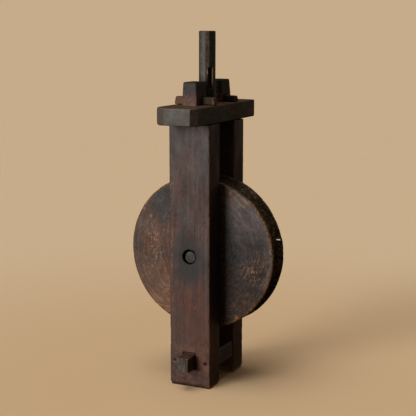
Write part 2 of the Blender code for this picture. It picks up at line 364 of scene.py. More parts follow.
class Timber(Graph):
    """Dark stained wood with its grain along one axis, rubbed bare on its edges."""

    def __init__(self, name, grain_axis, brown, grey, dark, contrast=0.16, wear=1.0, gloss=0.5,
                 fine=420.0):
        super().__init__(name)

        def along(size, length, **options):
            """Noise drawn out along the grain."""
            scale = tuple(length if axis == grain_axis else size for axis in range(3))
            return self.noise(scale, **options)

        fine_grain = along(fine, 9.0, detail=4, rough=0.6, distort=0.2)
        wide_grain = along(95.0, 6.0, detail=4, rough=0.65, distort=0.6)
        patches = along(26.0, 11.0, detail=5, rough=0.65, distort=0.3)
        blotches = along(130.0, 60.0, detail=4, rough=0.7)
        specks = self.noise(520.0, detail=2)
        scuffs = self.noise(75.0, detail=6, rough=0.75)
        lines = along(48.0, 7.0, rough=0.7, distort=1.2)
        edge = self.mark("edge")

        self.colour = self.mix(self.fade(patches, 0.38, 0.62), grey, brown)
        self.lay(dark, self.fade(wide_grain, 0.48, 0.70, 0.0, 0.7))
        self.tone(self.fade(blotches, 0.3, 0.7, 1 - contrast, 1 + contrast))
        self.tone(self.fade(fine_grain, 0.3, 0.7, 1 - contrast, 1 + contrast))
        # thin splits along the grain, black specks, bare wood on the arrises, dirt and painted
        # shade in the hollow corners
        split = self.times(self.fade(self.from_half(lines), 0.012, 0.003),
                           self.fade(scuffs, 0.46, 0.56))
        self.lay(BLACK_DIRT_AND_SHADE, split, 0.5)
        self.lay(BLACK_DIRT_AND_SHADE, self.fade(specks, 0.64, 0.74, 0.0, 0.6))
        self.lay(ORANGE_WEAR, self.fade(edge, 0.20, 0.50), self.fade(scuffs, 0.50, 0.62), wear)
        # dirt and painted shade: black where the surface is hollow
        self.lay(BLACK_DIRT_AND_SHADE, self.fade(edge, -0.40, -0.10, 0.8, 0.0))

        film = along(34.0, 15.0, detail=5, rough=0.7)
        self.roughness = self.fade(film, 0.34, 0.66, gloss - 0.10, gloss + 0.16)
        height = self.plus(self.times(fine_grain, 0.7), self.times(specks, 0.3),
                           self.times(scuffs, 0.5))
        self.bump(self.minus(height, self.times(split, 0.5)), 0.35, 0.6 * MM)

    def mottle(self, amount, scale, depth):
        """Uneven lighter and darker blots of a scale, by amount."""
        blots = self.noise(scale, detail=5, rough=0.7)
        self.vary(blots, amount, 0.34, 0.66, -depth, depth)

    def polish(self, amount, roughness):
        """Pull the roughness towards a value, by amount."""
        rest = self.minus(1.0, amount)
        self.roughness = self.plus(self.times(self.roughness, rest), self.times(amount, roughness))

    def done(self):
        return self.finish(self.colour, self.roughness)


# ---- the cheeks; each WOOD is a timber's brown, grey and dark
CHEEK_WOOD = ((0.084, 0.026, 0.015), (0.044, 0.028, 0.023), (0.030, 0.014, 0.010))
GREY_TOP = (0.043, 0.034, 0.031)
RED_FOOT = (0.098, 0.043, 0.026)
GREY_FILM = (0.048, 0.038, 0.036)
BARE_FLECK = (0.210, 0.096, 0.048)
RUBBED_LINE = (0.200, 0.076, 0.030)
TENON_DARK = (0.026, 0.019, 0.016)
TENON_ROOT = (0.100, 0.042, 0.019)
FOOT_KNOCK = (0.300, 0.100, 0.036)
# painted shade on the cheeks' right side faces
FLANK_PAINTED_SHADE = (0.007, 0.005, 0.004)
JOINT_DIRT = (0.014, 0.008, 0.006)
RUBBED_PATCH = (0.150, 0.054, 0.026)
# the spreader peg's painted shadow on the cheek
PEG_PAINTED_SHADOW = (0.018, 0.011, 0.009)
GREASE = (0.017, 0.017, 0.018)
AXLE_SOOT = (0.012, 0.011, 0.010)
HAND_DARK = (0.052, 0.017, 0.008)
SCRATCH_BARE = (0.165, 0.062, 0.030)
CRACK_DARK = (0.014, 0.008, 0.007)
NAIL_SPOTS = {"nail_front_left": (0.120, 0.038, 0.015),
              "nail_front_right": (0.020, 0.010, 0.007)}

# straight marks on the cheeks: the centre's X and Z in mm, the angle in degrees, the length in mm
SCRATCHES = ((-2, 258, 52, 9), (-6, 249, 35, 6), (9, 120, 70, 10),
             (-18, 316, 80, 12), (15, 66, 62, 7), (-27, 24, 65, 12),
             (-29, 13, 100, 9), (-14, 15, 20, 8), (6, 9, 165, 9))
CRACKS = ((4, 20, -9, 26), (-25, 17, 120, 16), (-22, 30, 75, 12))   # the first under the peg


def weather_cheek(g):
    """Greyer above and redder below; knocked about at the foot, a grey film on its left."""
    top = g.fade(g.wobble(g.z, 30.0, 14 * MM), 250 * MM, 360 * MM, 0.0, 0.8)
    g.lay(GREY_TOP, top, g.fade(g.noise(60.0, detail=4), 0.35, 0.6, 0.6, 1.0))
    g.lay(RED_FOOT, g.fade(g.z, 30 * MM, 200 * MM, 0.55, 0.0))
    foot = g.fade(g.wobble(g.z, 40.0, 8 * MM), 90 * MM, 55 * MM)
    g.mottle(foot, 110.0, 0.38)
    g.mottle(foot, 300.0, 0.14)
    film = g.times(g.fade(g.wobble(g.x, 90.0, 4 * MM), CHEEK_LOW.x + 12 * MM,
                          CHEEK_LOW.x + 4 * MM), g.fade(g.z, 160 * MM, 100 * MM))
    g.lay(GREY_FILM, film, 0.55)


def rub_cheek_arrises(g):
    """Bare flecks down the left arris, a rubbed line down the right one."""
    dashes = g.noise((520.0, 520.0, 150.0), rough=0.7)
    zones = g.noise((60.0, 60.0, 26.0), detail=2)
    left = g.times(g.fade(g.x, CHEEK_LOW.x + 13 * MM, CHEEK_LOW.x + 1 * MM),
                   g.fade(g.z, 50 * MM, 100 * MM), g.fade(g.z, 370 * MM, 330 * MM),
                   g.fade(zones, 0.42, 0.56))
    g.lay(BARE_FLECK, left, g.fade(dashes, 0.54, 0.62), 0.60)
    right = g.times(g.fade(g.x, CHEEK_HIGH.x - 4.2 * MM, CHEEK_HIGH.x - 2.6 * MM),
                    g.fade(g.mark("edge"), 0.16, 0.34), g.fade(g.z, 360 * MM, 300 * MM))
    g.lay(RUBBED_LINE, right, g.fade(zones, 0.38, 0.58, 0.20, 0.75))


def darken_cheek_ends(g):
    """Dark dull tenons with a warmer root; black end grain with painted shade on the tenons' tops,
    and painted shade along the foot's bottom where it stands on the floor.
    """
    beam_top, tenon_top = BEAM_HIGH.z, CHEEK_HIGH.z
    g.lay(TENON_DARK, g.fade(g.wobble(g.z, 60.0, 6 * MM), beam_top + 9 * MM, beam_top + 20 * MM),
          0.8)
    g.lay(TENON_ROOT, g.fade(g.z, beam_top + 18 * MM, beam_top + 4 * MM),
          g.fade(g.z, beam_top - 2 * MM, beam_top), 0.65)
    # painted shade on the tenons' tops, over their black end grain
    g.lay(BLACK_DIRT_AND_SHADE, g.fade(g.z, tenon_top - 2.2 * MM, tenon_top - 0.8 * MM, 0.0, 0.9))
    # painted shade along the lowest few millimetres of the foot, where it meets the floor
    g.lay(BLACK_DIRT_AND_SHADE, g.fade(g.wobble(g.z, 180.0, 1.5 * MM), 1 * MM, 5 * MM, 0.75, 0.0))
    # one bare knock, on the foot's lower right corner
    g.lay(FOOT_KNOCK, g.spot((30.5 * MM, 3.0 * MM), (2.6 * MM, 2.6 * MM), 0.4, 0.3, 300.0), 0.8)
    tenon = g.fade(g.z, beam_top - 2 * MM, beam_top + 6 * MM)
    g.polish(tenon, 0.64)
    g.mottle(tenon, 330.0, 0.45)


def paint_flank_shade(g):
    """Painted shade down the right side faces, darkest beside the wheel, and a lighter painted
    shade low down towards the floor.
    """
    side = g.fade(g.x, CHEEK_HIGH.x - 1.4 * MM, CHEEK_HIGH.x - 0.6 * MM)
    flank_shade = g.times(side, g.fade(g.wobble(g.z, 40.0, 10 * MM), 60 * MM, 130 * MM),
                    g.fade(g.wobble(g.z, 40.0, 10 * MM), 315 * MM, 285 * MM))
    g.lay(FLANK_PAINTED_SHADE, flank_shade, 0.72)
    g.lay(FLANK_PAINTED_SHADE, side, g.fade(g.z, 12 * MM, 60 * MM, 0.45, 0.0))


def mark_peg_joint_and_shadow(g):
    """Dirt in the joint round the spreader's peg, a rubbed stain beside it, and the peg's painted
    shadow on the cheek.
    """
    def outside(value, low, high):
        from_middle = g.math("ABSOLUTE", g.minus(value, (low + high) / 2))
        return g.minus(from_middle, (high - low) / 2)

    apart = g.math("MAXIMUM", outside(g.x, PEG_LEFT, PEG_RIGHT), outside(g.z, PEG_BOTTOM, PEG_TOP))
    joint = g.wobble(apart, 260.0, 0.7 * MM)
    g.lay(JOINT_DIRT, g.fade(joint, 0.8 * MM, 2.0 * MM, 0.85, 0.0))
    g.lay(RUBBED_PATCH, g.spot((18 * MM, 41 * MM), (8 * MM, 11 * MM), 0.35, 0.2, 120.0), 0.40)
    # the peg's shadow, painted on the cheek to its right and below
    g.lay(PEG_PAINTED_SHADOW, g.spot((13 * MM, 33 * MM), (6 * MM, 9 * MM), 0.40, 0.3, 150.0), 0.45)


def grease_axle_hole(g):
    """Grease and soot round the axle, running down a little, and a hand's dark stain above."""
    halo = g.spot((AXLE.x, AXLE.z - 6 * MM), (25 * MM, 42 * MM))
    g.lay(GREASE, halo, 0.9)
    g.polish(g.times(halo, 0.8), 0.60)
    g.lay(AXLE_SOOT, g.spot((AXLE.x, AXLE.z), (14 * MM, 14 * MM)), 0.6)
    g.lay(HAND_DARK, g.spot((15 * MM, 268 * MM), (16 * MM, 32 * MM), 0.35, 0.3), 0.35)


def mark_cheek(g):
    """Scratches through the stain, dark cracks, and the stains round the front nails."""
    for marks, width, amount, colour in ((SCRATCHES, 1.1 * MM, 0.75, SCRATCH_BARE),
                                         (CRACKS, 1.6 * MM, 0.85, CRACK_DARK)):
        for x, z, slope, length in marks:
            mark = g.stroke((x * MM, z * MM), math.radians(slope), length * MM, width)
            g.lay(colour, mark, amount)
    for node, stain in NAIL_SPOTS.items():
        low, high = BOX[node]
        nail = ((low.x + high.x) / 2, (low.z + high.z) / 2)
        g.lay(stain, g.spot(nail, (4.2 * MM, 2.8 * MM), 0.5, 0.3, 300.0), 0.8)


def cheek_material():
    g = Timber("cheek_wood_look", GRAIN_Z, *CHEEK_WOOD, contrast=0.32, gloss=0.50)
    for change in (weather_cheek, rub_cheek_arrises, darken_cheek_ends, paint_flank_shade,
                   mark_peg_joint_and_shadow, grease_axle_hole, mark_cheek):
        change(g)
    return g.done()


# ---- the beam, keys and spreader
BEAM_WOOD = ((0.050, 0.028, 0.016), (0.042, 0.030, 0.020), (0.024, 0.016, 0.011))
BEAM_DUST = (0.110, 0.062, 0.034)
BEAM_END = (0.066, 0.062, 0.054)
# painted light on the left cut and painted shade on the right one
BEAM_LEFT_CUT_LIT = (0.066, 0.053, 0.041)
BEAM_RIGHT_CUT_SHADED = (0.018, 0.011, 0.007)
BEAM_ARRIS_HIGHLIGHT = (0.125, 0.110, 0.088)

KEY_GREY = (0.040, 0.026, 0.018)
KEY_DARK = (0.016, 0.009, 0.006)
KEY_PAINTED_SHADE = (0.020, 0.012, 0.008)
KEY_TIP_HIGHLIGHT = (0.170, 0.090, 0.050)

SPREADER_WOOD = ((0.062, 0.036, 0.025), (0.054, 0.039, 0.030), (0.028, 0.019, 0.014))
PEG_END_GRAIN = (0.056, 0.045, 0.035)
PEG_TOP_DIRT = (0.013, 0.008, 0.006)
PEG_RIDGE = (0.120, 0.052, 0.022)
PEG_ARRIS = (0.240, 0.130, 0.065)


def beam_material():
    g = Timber("beam_wood_look", GRAIN_Y, *BEAM_WOOD, contrast=0.18, gloss=0.54)
    g.lay(BEAM_DUST, g.fade(g.z, BEAM_HIGH.z - 3.0 * MM, BEAM_HIGH.z - 1.0 * MM, 0.0, 0.45))
    left_cut = g.fade(g.mark("left_cut"), 0.40, 0.60)
    right_cut = g.fade(g.mark("right_cut"), 0.40, 0.60)
    scars = g.noise(420.0, detail=4)
    # weathered grey end grain at both ends
    reach = g.wobble(g.math("ABSOLUTE", g.y), 200.0, 0.6 * MM)
    uncut = g.minus(1.0, g.math("MAXIMUM", left_cut, right_cut))
    g.lay(BEAM_END, g.fade(reach, BEAM_HIGH.y - 2.2 * MM, BEAM_HIGH.y - 1.0 * MM, 0.0, 0.85),
          uncut)
    # the slanted cuts, one pale with painted light and one dark with painted shade, and a painted
    # highlight along the arrises at the ends
    g.lay(g.shade(BEAM_LEFT_CUT_LIT, g.fade(scars, 0.34, 0.66, 0.75, 1.25)), left_cut, 0.88)
    g.lay(BEAM_RIGHT_CUT_SHADED, right_cut, g.fade(scars, 0.36, 0.62, 0.88, 0.20))
    arris = g.times(g.fade(g.mark("edge"), 0.10, 0.30), g.fade(scars, 0.40, 0.56),
                    g.fade(reach, BEAM_HIGH.y - 4.0 * MM, BEAM_HIGH.y - 2.0 * MM))
    # a painted highlight along the arrises
    g.lay(BEAM_ARRIS_HIGHLIGHT, arris, 0.5)
    return g.done()


def key_material(name, brown, painted_shade_right):
    """A key: its right half is darkened as painted shade, and its right tip has a painted
    highlight.
    """
    g = Timber(name, GRAIN_X, brown=brown, grey=half_way(brown, KEY_GREY),
               dark=half_way(brown, KEY_DARK), wear=0.7, gloss=0.54)
    # painted shade over the right half, where the tenon and the rod shade the key
    g.lay(KEY_PAINTED_SHADE, g.fade(g.wobble(g.x, 160.0, 2 * MM), 0.0, 0.35 * KEY_TIP, 0.0, painted_shade_right))
    # a painted highlight on the rounded right tip
    g.lay(KEY_TIP_HIGHLIGHT, g.fade(g.wobble(g.x, 220.0, 1 * MM), KEY_TIP - 3.6 * MM,
                                 KEY_TIP - 2.2 * MM, 0.0, 4 * (1 - painted_shade_right)))
    g.polish(g.fade(g.x, 0.55 * KEY_TIP, 0.75 * KEY_TIP), 0.85)
    return g.done()


def spreader_material():
    g = Timber("spreader_wood_look", GRAIN_Y, *SPREADER_WOOD, gloss=0.52)
    from_middle = g.math("ABSOLUTE", g.y)
    end = g.fade(from_middle, SPREADER_END - 2.5 * MM, SPREADER_END - 1.0 * MM)
    layers = g.noise((330.0, 40.0, 90.0), detail=4)
    g.lay(g.shade(PEG_END_GRAIN, g.fade(layers, 0.34, 0.66, 0.40, 1.50)), end, 0.9)
    # the pegs' tops: black with cross cuts, brown where the ridges are rubbed
    proud = g.fade(from_middle, -CHEEK_LOW.y - 1 * MM, -CHEEK_LOW.y)
    top = g.times(g.mark("top"), proud)
    g.lay(PEG_TOP_DIRT, top, 0.95)
    ridges = g.times(top, g.minus(1.0, g.mark("notch")),
                     g.fade(g.noise(330.0, detail=2), 0.44, 0.56))
    g.lay(PEG_RIDGE, ridges, 0.65)
    # a pale rubbed line along the pegs' arrises
    arris = g.times(g.fade(g.mark("edge"), 0.12, 0.34), proud,
                    g.fade(g.noise(90.0, detail=4), 0.36, 0.56))
    g.lay(PEG_ARRIS, arris, 0.75)
    return g.done()


# ---- the rod, pin and nails
ROD_WOOD = ((0.050, 0.038, 0.024), (0.060, 0.052, 0.038), (0.016, 0.013, 0.008))
ROD_STREAK = (0.016, 0.013, 0.009)
ROD_PALE_BLOT = (0.105, 0.094, 0.070)
ROD_DARK_BLOT = (0.022, 0.018, 0.012)
ROD_SIDE_PAINTED_SHADE = (0.013, 0.011, 0.007)
ROD_FOOT_PAINTED_SHADE = (0.010, 0.008, 0.006)
SLOT_WALL = (0.120, 0.056, 0.024)
SLOT_CHIP = (0.420, 0.330, 0.210)
PIN_WOOD = ((0.036, 0.031, 0.025), (0.042, 0.038, 0.032), (0.020, 0.017, 0.014))
NAIL_BLACK = (0.014, 0.011, 0.010)


def rod_material():
    g = Timber("rod_wood_look", GRAIN_Z, *ROD_WOOD, contrast=0.38, wear=0.35, gloss=0.50,
               fine=300.0)
    streaks = g.noise((260.0, 260.0, 26.0), detail=4, rough=0.7)
    g.lay(ROD_STREAK, g.fade(streaks, 0.54, 0.66, 0.0, 0.5))
    mottle = g.noise((340.0, 340.0, 190.0), detail=4, rough=0.75)
    g.lay(ROD_PALE_BLOT, g.fade(mottle, 0.54, 0.66, 0.0, 0.75))
    g.lay(ROD_DARK_BLOT, g.fade(mottle, 0.46, 0.36, 0.0, 0.6))
    # painted shade up the rod's right side, away from the light, and low down between the tenons,
    # where they shade it
    side = g.plus(g.times(g.x, 0.90), g.times(g.y, 0.43))
    g.lay(ROD_SIDE_PAINTED_SHADE, g.fade(g.wobble(side, 150.0, 0.8 * MM), 2.0 * MM, 6.0 * MM, 0.0, 0.72))
    g.lay(ROD_FOOT_PAINTED_SHADE, g.fade(g.wobble(g.z, 90.0, 3 * MM), 438 * MM, 452 * MM, 0.75, 0.0))
    g.lay(SLOT_WALL, g.mark("slot"), 0.8)
    # painted shade deep inside the slot
    g.lay(BLACK_DIRT_AND_SHADE, g.mark("deep"), 0.92)
    g.lay(SLOT_CHIP, g.mark("chip"), 0.95)
    return g.done()


def pin_material():
    g = Timber("pin_wood_look", GRAIN_Y, *PIN_WOOD, wear=0.0, gloss=0.46)
    pit = g.spot((AXLE.x - 1.8 * MM, AXLE.z - 3.6 * MM), (1.5 * MM, 1.3 * MM), 0.4, 0.4, 500.0)
    g.lay(BLACK_DIRT_AND_SHADE, pit, 0.85)
    return g.done()


def nail_material(name, rust_colour):
    g = Graph(name)
    rust = g.noise(900.0, detail=4)
    colour = g.mix(g.fade(rust, 0.4, 0.6), NAIL_BLACK, rust_colour)
    g.bump(rust, 0.5, 0.3 * MM)
    return g.finish(colour, g.fade(rust, 0.3, 0.7, 0.7, 0.95), 0.1)


# ---- the sheave's end grain
PITH = (0.05, 0.03)             # off the axle, as parts of the sheave's radius
FACE_GREY = (0.036, 0.028, 0.025)
FACE_BROWN = (0.086, 0.040, 0.024)
FACE_WARM_LEFT = (0.125, 0.052, 0.027)
MURK_GREY = (0.018, 0.018, 0.020)
MURK_BROWN = (0.044, 0.025, 0.018)
OUTER_WORN_SHEEN = (0.086, 0.066, 0.060)
CIRCLE_DARK = (0.012, 0.009, 0.008)
FLECK_BARE = (0.270, 0.130, 0.066)
KNOCK_BARE = (0.260, 0.105, 0.048)
RIM_BROWN = (0.048, 0.024, 0.009)
RIM_GOLD = (0.240, 0.112, 0.033)
FLAKE_BARE = (0.300, 0.165, 0.085)
TREAD_BLACK = (0.014, 0.010, 0.005)
TREAD_BROWN = (0.125, 0.078, 0.034)

# soft stains: centre and radii as parts of the sheave's radius, raggedness, strength, colour
FACE_STAINS = (
    ((-0.72, -0.62), (0.55, 0.48), 0.35, 0.80, (0.142, 0.070, 0.039)),  # paler, lower left
    ((-0.50, 0.60), (0.26, 0.30), 0.50, 0.85, (0.024, 0.022, 0.022)),  # sooty, upper left
    ((0.60, 0.58), (0.36, 0.36), 0.50, 0.70, (0.074, 0.055, 0.050)),  # painted sheen, upper right
    ((0.42, 0.08), (0.30, 0.34), 0.50, 0.60, (0.020, 0.019, 0.021)),  # darker, by the cheek
    ((0.50, 0.76), (0.20, 0.18), 0.40, 0.60, (0.120, 0.074, 0.052)),  # warm, below the top
    ((-0.60, -0.78), (0.28, 0.20), 0.40, 0.70, (0.210, 0.100, 0.052)))  # bare, lower left rim
LOWER_RIGHT_STAINS = (
    ((0.50, -0.62), (0.56, 0.50), 0.50, 0.85, (0.028, 0.015, 0.010)),
    ((0.66, -0.60), (0.22, 0.20), 0.50, 0.15, (0.100, 0.058, 0.036)))

# knocks in the stain: centre and width as parts of the sheave's radius
KNOCKS = (((0.41, 0.80), 0.030), ((0.64, 0.72), 0.022), ((0.60, 0.64), 0.014),
          ((-0.82, 0.52), 0.020), ((-0.72, 0.42), 0.024), ((0.50, -0.80), 0.026),
          ((0.70, -0.68), 0.018), ((0.36, 0.88), 0.022))


class EndGrain(Graph):
    """Wood cut across a log: growth rings round the pith and rays across them."""

    def __init__(self, name):
        super().__init__(name)
        pith_x = self.minus(self.x, AXLE.x + PITH[0] * SHEAVE_RADIUS)
        pith_z = self.minus(self.z, AXLE.z + PITH[1] * SHEAVE_RADIUS)
        self.from_pith = self.length(self.join(pith_x, 0.0, pith_z))
        safe = self.plus(self.from_pith, 0.5 * MM)
        self.turn_x = self.math("DIVIDE", pith_x, safe)
        self.turn_z = self.math("DIVIDE", pith_z, safe)
        self.warp = self.noise(16.0, detail=2)
        uneven = self.warped(20 * MM)
        self.rings = self.noise(place=self.polar(2.5, 420.0, uneven), rough=0.6)
        self.dashes = self.noise(place=self.polar(13.0, 430.0, uneven), rough=0.6)
        self.rays = self.noise(place=self.polar(70.0, 22.0, uneven), rough=0.6)
        self.blotch = self.noise(130.0, detail=4, rough=0.7)
        self.right = self.fade(self.wobble(self.x, 22.0, 16 * MM), -0.1 * SHEAVE_RADIUS,
                               0.45 * SHEAVE_RADIUS)
        self.rough_right = self.times(self.right, self.fade_up(-0.1, 0.3, 1.0, 0.35))

    def warped(self, amount):
        """The distance from the pith, made a little uneven."""
        return self.plus(self.from_pith, self.times(self.warp, amount))

    def polar(self, around, along, out):
        """Coordinates that run round the pith and out from it, so that noise makes rings."""
        return self.join(self.times(self.turn_x, around), self.times(out, along),
                         self.times(self.turn_z, around))

    def fade_up(self, low, high, to_low=0.0, to_high=1.0):
        """A fade by height over the axle, in parts of the sheave's radius."""
        return self.fade(self.z, AXLE.z + low * SHEAVE_RADIUS, AXLE.z + high * SHEAVE_RADIUS,
                         to_low, to_high)

    def patch(self, centre, radii, **options):
        """A soft ragged patch, in parts of the sheave's radius from its axle."""
        return self.spot((AXLE.x + centre[0] * SHEAVE_RADIUS, AXLE.z + centre[1] * SHEAVE_RADIUS),
                         (radii[0] * SHEAVE_RADIUS, radii[1] * SHEAVE_RADIUS), **options)

    def stain(self, stains):
        for centre, radii, ragged, amount, colour in stains:
            self.lay(colour, self.patch(centre, radii, ragged=ragged), amount)


def stain_face(g):
    """Brown and grey; warmer on the left, murky on the right with painted sheen high up and on its
    worn outer band, blotted at the lower right.
    """
    patches = g.noise(26.0, detail=5, rough=0.65)
    g.colour = g.mix(g.fade(patches, 0.36, 0.64), FACE_GREY, FACE_BROWN)
    g.lay(FACE_WARM_LEFT, g.fade(g.x, -0.25 * SHEAVE_RADIUS, -0.45 * SHEAVE_RADIUS, 0.0, 0.30))
    stains = g.noise(38.0, detail=5, rough=0.7, distort=0.4)
    g.lay(g.mix(g.fade(stains, 0.40, 0.60), MURK_GREY, MURK_BROWN), g.right, 0.85)
    g.stain(FACE_STAINS)
    # painted sheen on the worn outer band of the face, on the right
    outer = g.times(g.fade(g.wobble(g.mark("lip"), 60.0, 5.0), 4.0, 16.0, 0.7, 0.0), g.right,
                    g.fade_up(-0.65, -0.40))
    g.lay(OUTER_WORN_SHEEN, outer)
    g.stain(LOWER_RIGHT_STAINS)
    blots = g.noise(70.0, detail=6, rough=0.75)
    g.vary(blots, g.rough_right, 0.36, 0.64, -0.42, 0.42)
    g.vary(g.dashes, g.rough_right, 0.40, 0.60, -0.30, 0.42)


def draw_rings(g):
    """Growth rings, rays, fine dark circles and open checks; returns the last two."""
    g.tone(g.fade(g.rings, 0.32, 0.68, 0.70, 1.26))
    g.tone(g.fade(g.rays, 0.30, 0.70, 0.86, 1.12))
    # the circles are clearest low on both sides
    circles = g.noise(place=g.polar(2.2, 230.0, g.warped(8 * MM)), detail=2, rough=0.5)
    low = g.plus(g.patch((-0.75, -0.40), (0.50, 0.55), ragged=0.4),
                 g.patch((0.45, -0.70), (0.50, 0.40), ragged=0.4))
    low = g.math("MINIMUM", g.plus(low, 0.25), 1.0)
    circles = g.times(g.fade(g.from_half(circles), 0.030, 0.008), low,
                      g.fade(g.blotch, 0.40, 0.56))
    g.lay(CIRCLE_DARK, circles, 0.72)
    g.tone(g.fade(g.blotch, 0.3, 0.7, 0.72, 1.28))
    checks = g.times(g.fade(g.from_half(g.rings), 0.022, 0.004), g.fade(g.rays, 0.42, 0.56))
    g.lay(BLACK_DIRT_AND_SHADE, checks, 0.6)
    specks = g.noise(500.0, detail=2)
    g.lay(BLACK_DIRT_AND_SHADE, g.fade(specks, 0.66, 0.76, 0.0, 0.5))
    return circles, checks


def bare_face(g):
    """Flecks of bare wood between the checks, and knocks in the stain."""
    zones = g.plus(g.patch((-0.69, 0.04), (0.20, 0.46), ragged=0.5, core=0.2),
                   g.patch((0.74, -0.20), (0.30, 0.24), ragged=0.6, core=0.2))
    anywhere = g.fade(g.noise(14.0), 0.60, 0.72, 0.0, 0.6)
    zones = g.plus(zones, anywhere)
    level = g.minus(g.dashes, g.minus(0.20, g.times(zones, 0.20)))
    flecks = g.times(g.fade(level, 0.52, 0.60), g.fade(g.rays, 0.38, 0.50))
    g.lay(FLECK_BARE, flecks, 0.75)
    for centre, size in KNOCKS:
        knock = g.patch(centre, (size, 1.3 * size), ragged=0.5, core=0.3, scale=260.0)
        g.lay(KNOCK_BARE, knock, 0.7)


def rub_rim(g):
    """Bare and golden where the lip is rubbed, black across the rim; returns the tread."""
    faint = g.fade(g.noise(45.0, detail=4, rough=0.7), 0.36, 0.58, 0.15, 1.0)
    lip = g.wobble(g.mark("lip"), 240.0, 2.2)
    broad = g.times(g.fade(g.x, 0.0, 0.5 * SHEAVE_RADIUS), g.fade(lip, 2.4, 6.0, 0.85, 0.0),
                    g.fade(g.blotch, 0.34, 0.52))
    worn = g.math("MAXIMUM", broad, g.times(g.fade(lip, 2.4, 0.6),
                                            g.fade(faint, 0.15, 0.60, 0.45, 1.0)))
    gold = g.fade(g.noise(420.0), 0.42, 0.60)
    g.lay(g.mix(gold, RIM_BROWN, RIM_GOLD), worn, 0.9)
    g.lay(FLAKE_BARE, g.mark("chip"))
    tread = g.fade(lip, -1.4, -3.0)
    rough = g.fade(g.noise(210.0, detail=5, rough=0.75), 0.46, 0.64)
    g.lay(g.mix(rough, TREAD_BLACK, TREAD_BROWN), tread, 0.97)
    # dirt and painted shade in the hollows
    g.lay(BLACK_DIRT_AND_SHADE, g.fade(g.mark("edge"), -0.40, -0.10, 0.8, 0.0))
    return tread


def sheave_material():
    g = EndGrain("sheave_wood_look")
    stain_face(g)
    circles, checks = draw_rings(g)
    bare_face(g)
    tread = rub_rim(g)
    height = g.plus(g.times(g.rings, 0.5), g.times(g.rays, 0.3), g.times(g.dashes, 0.4))
    g.bump(g.minus(height, g.times(checks, 0.4), g.times(circles, 0.4)), 0.5, 0.7 * MM)
    film = g.noise(34.0, detail=5, rough=0.65)
    dull = g.plus(g.fade(film, 0.32, 0.68, 0.38, 0.62), g.times(tread, 0.15))
    return g.finish(g.colour, g.plus(dull, g.times(g.rough_right, 0.20)))


# ---- pieces of the frame
# the cuts across the tops of the pegs: the middle's X and the width, in mm
PEG_NOTCHES = ((-7.4, 1.0), (-4.0, 0.8), (-0.4, 1.1), (3.2, 0.9), (6.0, 0.6))
FRONT_KEY_BROWN = (0.086, 0.035, 0.016)
# the rear key's brown, darker than the front key's as painted shade
REAR_KEY_SHADED_BROWN = (0.050, 0.022, 0.012)
RUSTY = (0.085, 0.027, 0.012)
BLACKENED = (0.020, 0.010, 0.006)


def worn_timber(node, material, voxel, seed, rounds=1, hollow=0.25, shape=None, body="frame"):
    """A CAD timber with rubbed edges and an uneven, hand-worked surface."""
    mesh = dense_copy(node, voxel)
    edges = edges_of(mesh)
    points = points_of(mesh)
    lumps = wander(points, 0.016, seed)
    points = soften(points, edges, 0.25 + 0.75 * smoothstep(-0.25, 0.45, lumps), rounds)
    if shape:
        points = shape(points, edges)
    set_points(mesh, points)
    out = normals_of(mesh)
    edge = convexity(points, edges, out, voxel)
    swell = wander(points, (0.040, 0.040, 0.070), seed + 1, 2)
    nicks = wander(points, (0.006, 0.006, 0.009), seed + 2, 2)
    sink = hollow * MM * (0.5 + 0.5 * swell)
    sink += 0.7 * MM * smoothstep(0.30, 0.60, nicks) * smoothstep(0.10, 0.35, edge)
    set_points(mesh, points - out * sink[:, None])
    set_mark(mesh, "edge", edge)
    return add_object(node + "_worn", mesh, material, body, node)


def batter_key(points, edges):
    """Wear the key's right end round."""
    return soften(points, edges, smoothstep(KEY_TIP - 6 * MM, KEY_TIP - 1 * MM, points[:, 0]), 12)


def round_beam_corners(points, edges):
    """Wear the corners of the beam's front left end rounder."""
    left = smoothstep(BEAM_LOW.x + 7 * MM, BEAM_LOW.x + 2 * MM, points[:, 0])
    front = smoothstep(BEAM_LOW.y + 12 * MM, BEAM_LOW.y + 8 * MM, points[:, 1])
    return soften(points, edges, left * front, 26)


def notches_at(points):
    """How deep in one of the pegs' cross cuts each point lies, from 0 to 1."""
    depth = np.zeros(len(points))
    for centre, width in PEG_NOTCHES:
        across = (points[:, 0] - centre * MM) / (width * MM)
        depth = np.maximum(depth, np.exp(-across ** 4))
    ends = smoothstep(1.0 * MM, 2.2 * MM, SPREADER_END - np.abs(points[:, 1]))
    return depth * ends


def notch_pegs(points, _):
    """Lower the tops of the spreader's two pegs, with chisel cuts across them."""
    on_peg = np.abs(points[:, 1]) > -CHEEK_LOW.y
    high = smoothstep(PEG_TOP - 2.2 * MM, PEG_TOP - 0.8 * MM, points[:, 2]) * on_peg
    points[:, 2] -= (1.0 + 0.7 * notches_at(points)) * MM * high
    return points


def mark_beam_cuts(mesh):
    """Mark the two slanted cuts at the beam's front end by the way that they face."""
    out = normals_of(mesh)
    front = smoothstep(-0.20, -0.35, out[:, 1]) * (points_of(mesh)[:, 1] < 0)
    set_mark(mesh, "left_cut", front * smoothstep(-0.25, -0.45, out[:, 0]))
    set_mark(mesh, "right_cut", front * smoothstep(0.25, 0.45, out[:, 0]))


def mark_peg_tops(mesh):
    """Mark the tops of the pegs, and the cuts in them."""
    points = points_of(mesh)
    high = smoothstep(PEG_TOP - 2.2 * MM, PEG_TOP - 1.4 * MM, points[:, 2])
    set_mark(mesh, "top", high * smoothstep(0.4, 0.7, normals_of(mesh)[:, 2]))
    set_mark(mesh, "notch", notches_at(points) * high)


